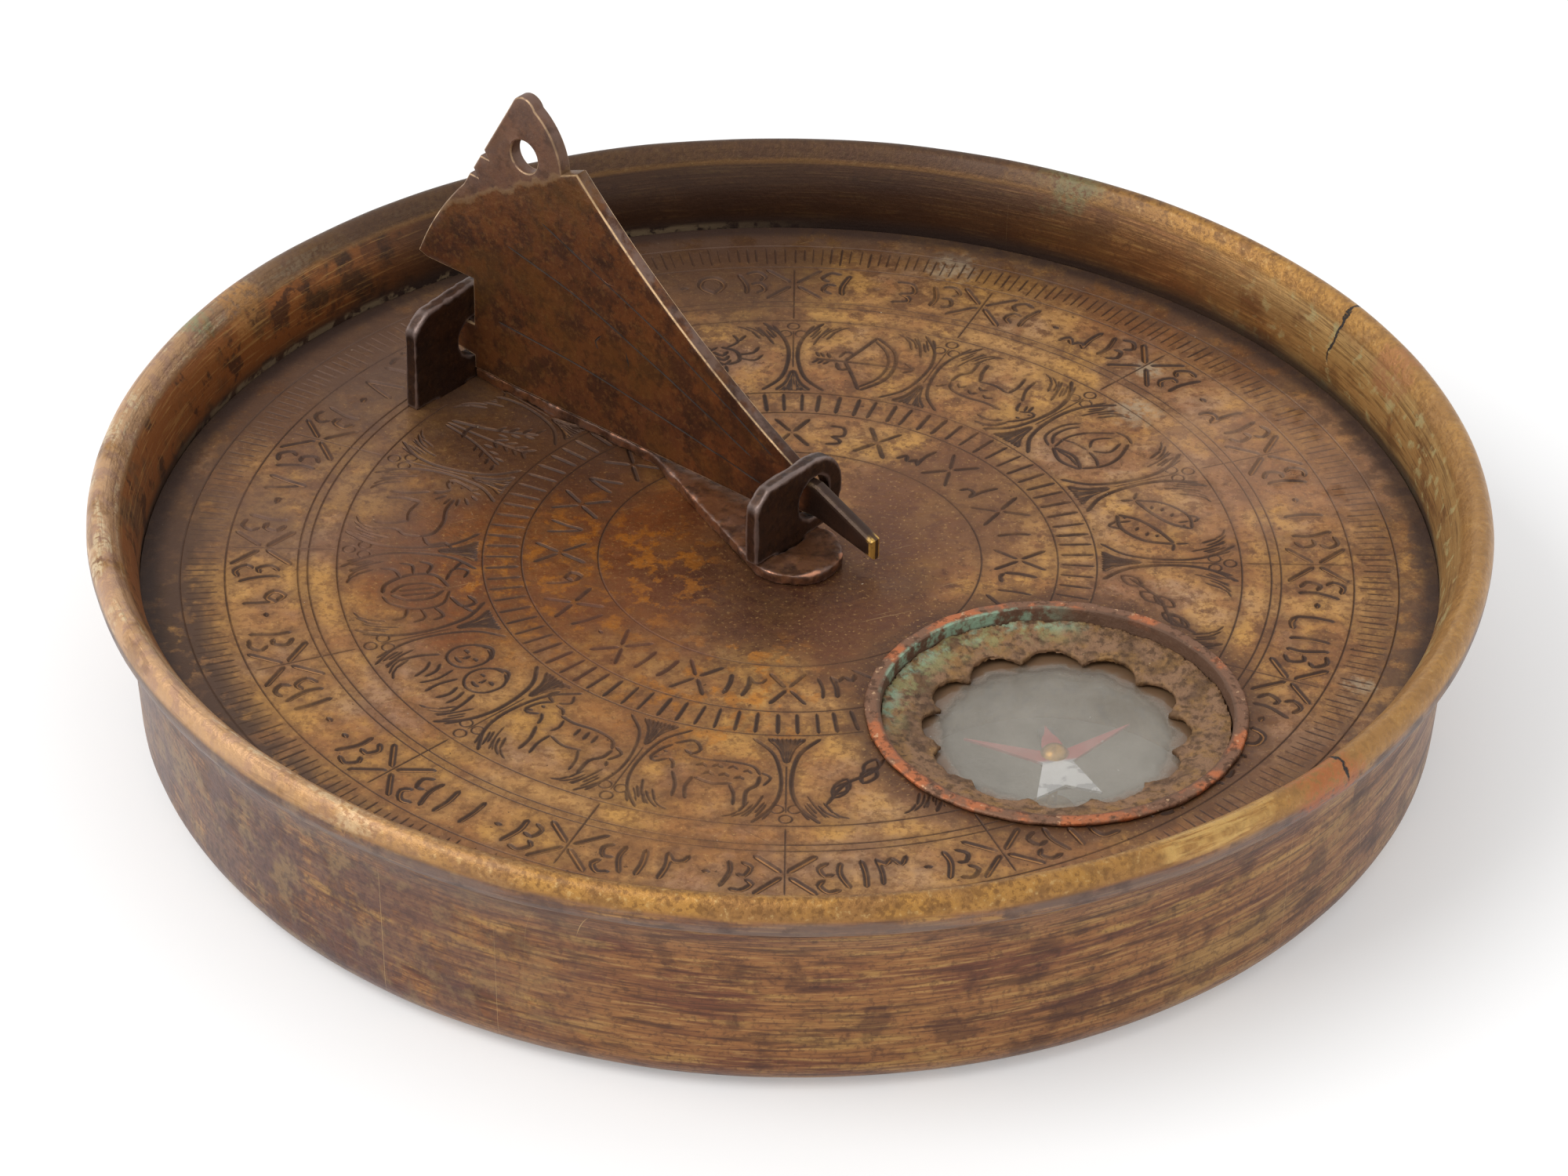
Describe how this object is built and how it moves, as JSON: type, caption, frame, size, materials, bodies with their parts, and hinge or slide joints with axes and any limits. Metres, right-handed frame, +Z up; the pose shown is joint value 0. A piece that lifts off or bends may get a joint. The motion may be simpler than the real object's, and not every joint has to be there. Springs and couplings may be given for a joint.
{
  "type": "qibla compass",
  "caption": "Round brass qibla compass: flared pan with an engraved dial, a folding gnomon blade between pierced ears and a glazed compass well.",
  "frame": {"origin": "middle of the flat underside of the pan", "axes": "+Z up through the dial, +X to the right and +Y to the back, with the compass well at the front right"},
  "size_m": [0.1, 0.1, 0.0378],
  "materials": {
    "case_brass": "spun, brown patina with worn gold lip",
    "dial_brass": "planished sheet with cut engraving and brown patina",
    "bowl_copper": "copper sheet, tarnished, bright where rubbed",
    "sleeve_brass": "dull sheet",
    "well_glass": "old cloudy sheet glass",
    "collar_brass": "dished sheet, brown crust and verdigris",
    "pivot_brass": "turned",
    "magnet_steel": "blued strip",
    "bird_paint": "faded red paint and bare tin on thin sheet",
    "cap_brass": "turned, bright",
    "hinge_bronze": "filed plate, dark patina, rubbed edges",
    "blade_bronze": "filed plate, dark patina, bright worn edges"
  },
  "bodies": {
    "case": {"case_pan": "case_brass", "dial_plate": "dial_brass", "compass_bowl": "bowl_copper", "glass_sleeve": "sleeve_brass", "compass_glass": "well_glass", "glass_collar": "collar_brass", "needle_pivot": "pivot_brass", "hinge_foot": "hinge_bronze", "front_ear": "hinge_bronze", "rear_ear": "hinge_bronze"},
    "gnomon": {"gnomon_blade": "blade_bronze"},
    "needle": {"needle_magnet": "magnet_steel", "needle_bird": "bird_paint", "needle_cap": "cap_brass"}
  },
  "joints": [
    {"name": "gnomon_fold", "type": "hinge", "parent": "case", "child": "gnomon", "pos_m": [0.0013, 0.0024, 0.01515], "axis": [-0.766, 0.6428, 0], "range_deg": [-25, 95]},
    {"name": "needle_turn", "type": "hinge", "parent": "case", "child": "needle", "pos_m": [0.0186, -0.0189, 0.0079], "axis": [0, 0, 1], "continuous": true}
  ]
}
